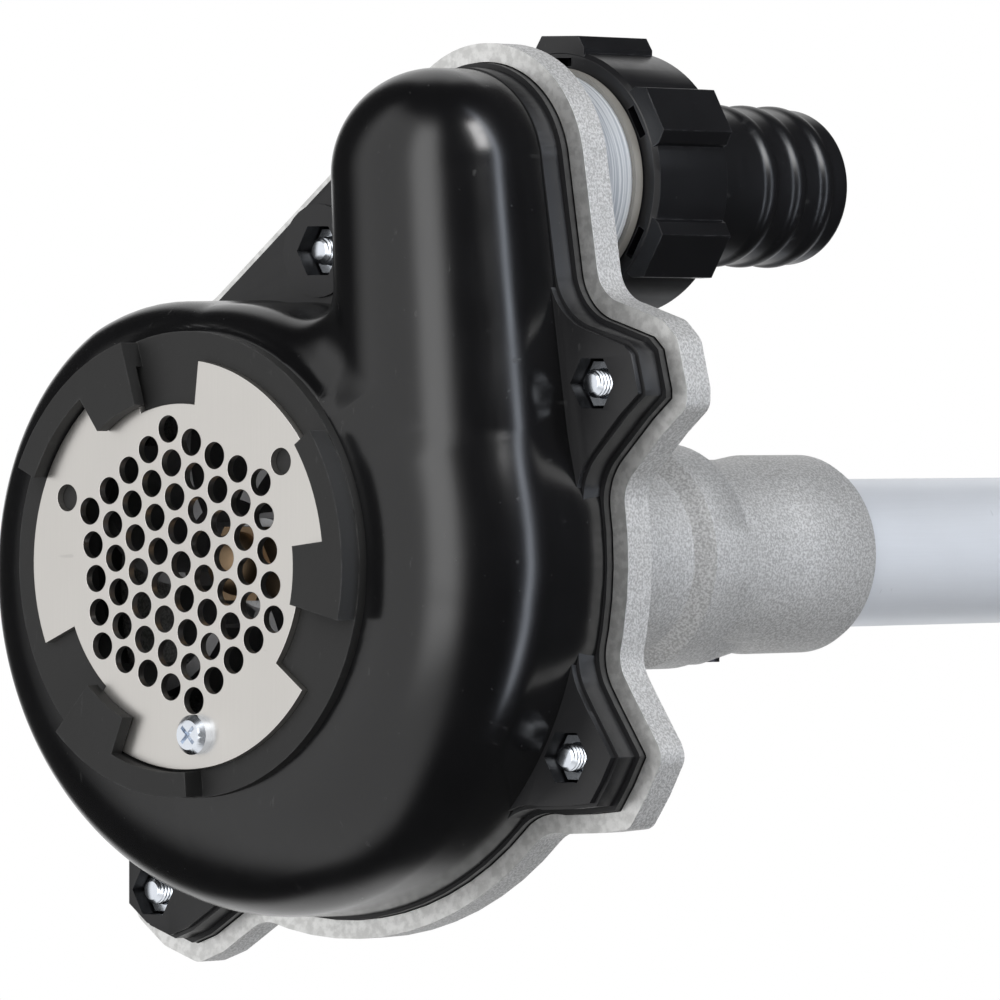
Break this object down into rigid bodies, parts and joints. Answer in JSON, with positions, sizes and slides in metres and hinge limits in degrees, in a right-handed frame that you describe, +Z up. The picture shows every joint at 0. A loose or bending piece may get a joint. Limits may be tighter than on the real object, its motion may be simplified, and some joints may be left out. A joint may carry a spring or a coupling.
{
  "type": "centrifugal transfer pump head",
  "caption": "Tube-mounted centrifugal water pump head with a bayonet strainer, an upright volute outlet with a swivel nut and hose tail, and a shaft-driven impeller.",
  "frame": {"origin": "centre of the drive tube's free end, on the pump axis", "axes": "+Y along the pump axis from the strainer to the power unit, +Z up through the outlet tower's side, +X towards the outlet"},
  "size_m": [0.1528, 0.4888, 0.1663],
  "materials": {
    "cover_plastic": "satin to gloss moulded black, soft streaks in the highlights",
    "ring_plastic": "matte black, pale wear on the edges",
    "fitting_plastic": "satin black with faint scratches",
    "stainless": "fine satin stainless sheet",
    "zinc_steel": "bright zinc plating",
    "cast_aluminium": "grainy die casting with machined faces",
    "anodised_aluminium": "satin clear anodised tube",
    "seal_cream": "cream plastic",
    "black_rubber": "black rubber",
    "brass": "turned brass",
    "impeller_metal": "rough grey casting",
    "ground_steel": "ground steel",
    "spring_steel": "blackened spring steel",
    "ceramic": "fired ceramic",
    "carbon": "lapped carbon"
  },
  "bodies": {
    "pump_body": {"inlet_ring": "ring_plastic", "strainer_plate": "stainless", "strainer_screw": "zinc_steel", "volute_cover": "cover_plastic", "cover_screws": "zinc_steel", "cover_nuts": "zinc_steel", "cover_washers": "zinc_steel", "cover_gasket": "black_rubber", "back_plate": "cast_aluminium", "outlet_seal_ring": "seal_cream", "hose_tail": "fitting_plastic", "tail_washer": "black_rubber", "seal_seat": "ceramic", "seal_cup": "black_rubber", "oil_seal": "black_rubber", "bearing_outer_rings": "ground_steel", "bearing_circlip": "spring_steel", "tube_socket": "cast_aluminium", "socket_oring": "black_rubber", "clamp_screw": "spring_steel", "drive_tube": "anodised_aluminium", "drive_bushings": "black_rubber"},
    "rotor": {"impeller": "impeller_metal", "impeller_washer": "ground_steel", "impeller_nut": "brass", "shaft_key": "ground_steel", "pump_shaft": "ground_steel", "seal_bellows": "black_rubber", "seal_spring": "spring_steel", "seal_carbon_ring": "carbon", "shaft_circlips": "spring_steel", "bearing_inner_rings": "ground_steel", "bearing_spacer": "ground_steel", "shaft_coupler": "ground_steel", "drive_shaft": "ground_steel"},
    "ball_cages": {"bearing_balls": "ground_steel", "bearing_cages": "brass"},
    "outlet_nut": {"outlet_nut": "fitting_plastic"}
  },
  "joints": [
    {"name": "rotor_spin", "type": "hinge", "parent": "pump_body", "child": "rotor", "pos_m": [0, -0.4308, 0], "axis": [0, 1, 0], "continuous": true},
    {"name": "cage_spin", "type": "hinge", "parent": "pump_body", "child": "ball_cages", "pos_m": [0, -0.3768, 0], "axis": [0, 1, 0], "continuous": true},
    {"name": "nut_swivel", "type": "hinge", "parent": "pump_body", "child": "outlet_nut", "pos_m": [0.0357, -0.4008, 0.0676], "axis": [0, 1, 0], "continuous": true}
  ],
  "couplings": [
    {"joint": "cage_spin", "follows": "rotor_spin", "ratio": 0.381}
  ]
}
